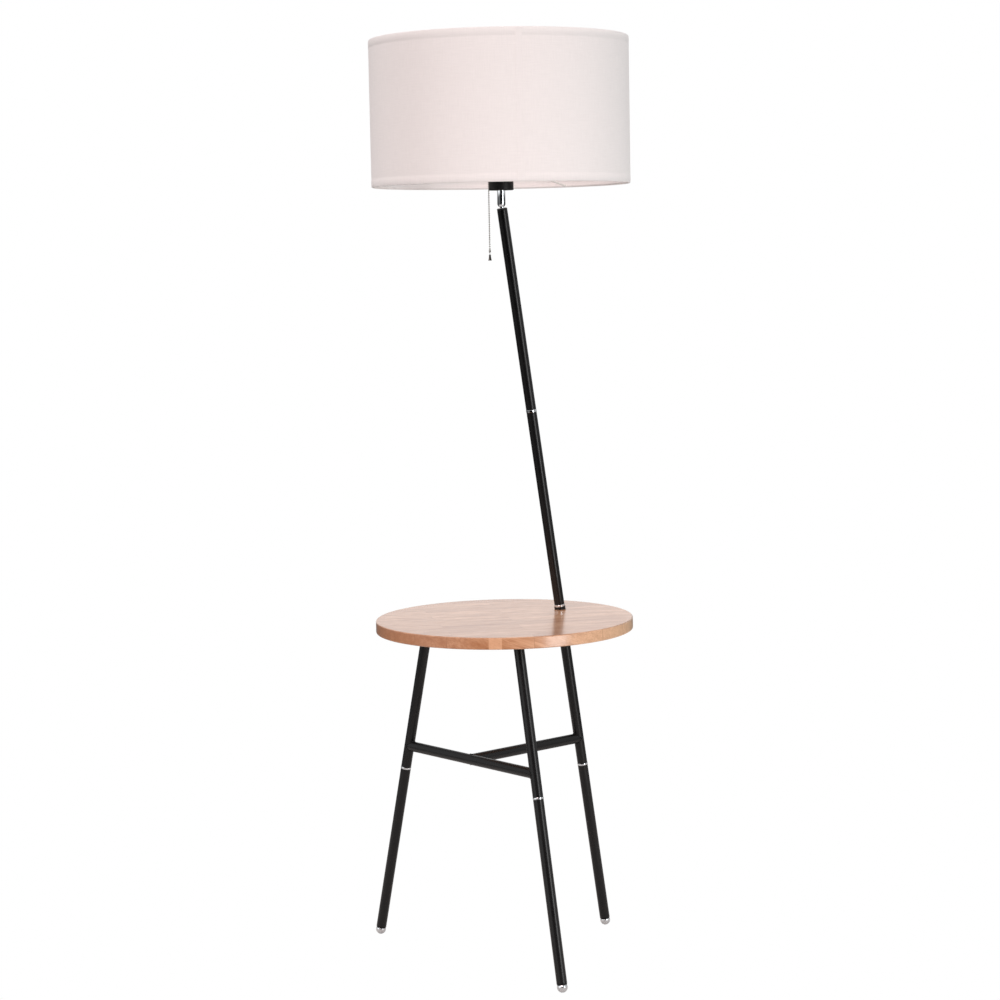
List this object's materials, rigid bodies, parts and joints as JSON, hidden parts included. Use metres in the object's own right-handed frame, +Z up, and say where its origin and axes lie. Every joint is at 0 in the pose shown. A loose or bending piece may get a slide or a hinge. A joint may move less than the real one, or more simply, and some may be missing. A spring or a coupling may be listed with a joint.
{
  "type": "floor lamp with table",
  "caption": "Tripod floor lamp with a round wooden side table on its legs, a leaning pole, a swivel head, a drum shade and a pull chain switch.",
  "frame": {"origin": "on the floor, under the middle of the lamp's bounding box", "axes": "+Z up along the lamp's height, +Y towards the rear leg and the foot of the pole, +X to the right seen from the front"},
  "size_m": [0.4526, 0.4136, 1.4213],
  "materials": {
    "chrome": "polished chrome plating",
    "black_powder_coat": "satin black powder coat on steel tube",
    "black_plastic": "satin black moulding",
    "zinc_steel": "zinc plated steel",
    "white_enamel_wire": "white enamelled wire and sheet",
    "wood": "clear gloss lacquer on edge-glued light hardwood",
    "shade_fabric": "white linen-look fabric on a plastic sheet",
    "brass": "pressed brass",
    "nylon": "natural nylon",
    "ceramic": "glazed white disc",
    "bulb_glass": "frosted glass",
    "nickel": "nickel plated",
    "gunmetal": "dark nickel plated",
    "rubber": "black rubber",
    "lead_sheath": "black cable sheath"
  },
  "bodies": {
    "stand": {"foot_ball_left": "chrome", "foot_ball_right": "chrome", "foot_ball_rear": "chrome", "foot_plugs": "black_plastic", "leg_lower_left": "black_powder_coat", "leg_lower_right": "black_powder_coat", "leg_lower_rear": "black_powder_coat", "leg_rings": "chrome", "leg_upper_left": "black_powder_coat", "leg_upper_right": "black_powder_coat", "leg_upper_rear": "black_powder_coat", "tube_inserts": "zinc_steel", "joint_nipples": "zinc_steel", "crossbar_front": "black_powder_coat", "crossbar_rear": "black_powder_coat", "leg_plates": "black_powder_coat", "plate_screws": "zinc_steel", "table_top": "wood", "lower_wedge_collar": "black_powder_coat", "upper_wedge_collar": "black_powder_coat", "base_ring": "chrome", "clamp_nipple": "zinc_steel", "pole_lower": "black_powder_coat", "pole_ring": "chrome", "pole_upper": "black_powder_coat", "pole_cap": "black_powder_coat", "swivel_ball": "chrome", "cord_grommet": "rubber", "pole_lead": "lead_sheath"},
    "head": {"swivel_housing": "chrome", "ball_seat": "nylon", "spring_washer": "zinc_steel", "head_nipple": "zinc_steel", "lock_nut": "zinc_steel", "socket_cup": "black_plastic", "socket_shell": "black_plastic", "insulator_disc": "ceramic", "screw_shell": "brass", "centre_contact": "brass", "switch_carrier": "black_plastic", "switch_pins": "zinc_steel", "lever_spring": "zinc_steel", "shade_cover": "shade_fabric", "lower_wire_ring": "white_enamel_wire", "upper_wire_ring": "white_enamel_wire", "spider_hub": "white_enamel_wire", "spider_arm_1": "white_enamel_wire", "spider_arm_2": "white_enamel_wire", "spider_arm_3": "white_enamel_wire", "shade_ring": "black_plastic", "bulb_cap": "nickel", "bulb_glass": "bulb_glass", "head_lead": "lead_sheath"},
    "chain_top": {"chain_top_link": "nickel"},
    "hanging_chain": {"pull_chain": "nickel", "chain_connector": "nickel", "bell_pull": "gunmetal"},
    "switch_lever": {"pull_lever": "zinc_steel"},
    "switch_rotor": {"switch_rotor": "black_plastic"}
  },
  "joints": [
    {"name": "head_tilt", "type": "hinge", "parent": "stand", "child": "head", "pos_m": [0, 0.0035, 1.1705], "axis": [1, 0, 0], "range_deg": [-7, 26]},
    {"name": "chain_pull", "type": "slide", "parent": "head", "child": "chain_top", "axis": [0, 0, -1], "range_m": [0, 0.007], "stiffness_N_per_m": 400, "springref_m": -0.008},
    {"name": "chain_swing", "type": "hinge", "parent": "chain_top", "child": "hanging_chain", "pos_m": [-0.0293, 0.0035, 1.2088], "axis": [1, 0, 0], "range_deg": [-25, 25]},
    {"name": "lever_turn", "type": "hinge", "parent": "head", "child": "switch_lever", "pos_m": [-0.012, 0.0035, 1.211], "axis": [0, -1, 0], "range_deg": [0, 24]},
    {"name": "rotor_turn", "type": "hinge", "parent": "head", "child": "switch_rotor", "pos_m": [-0.001, 0.0035, 1.211], "axis": [0, 1, 0], "range_deg": [0, 90]}
  ],
  "couplings": [
    {"joint": "lever_turn", "follows": "chain_pull", "rad_per_m": 59.834},
    {"joint": "rotor_turn", "follows": "chain_pull", "rad_per_m": 224.38}
  ]
}
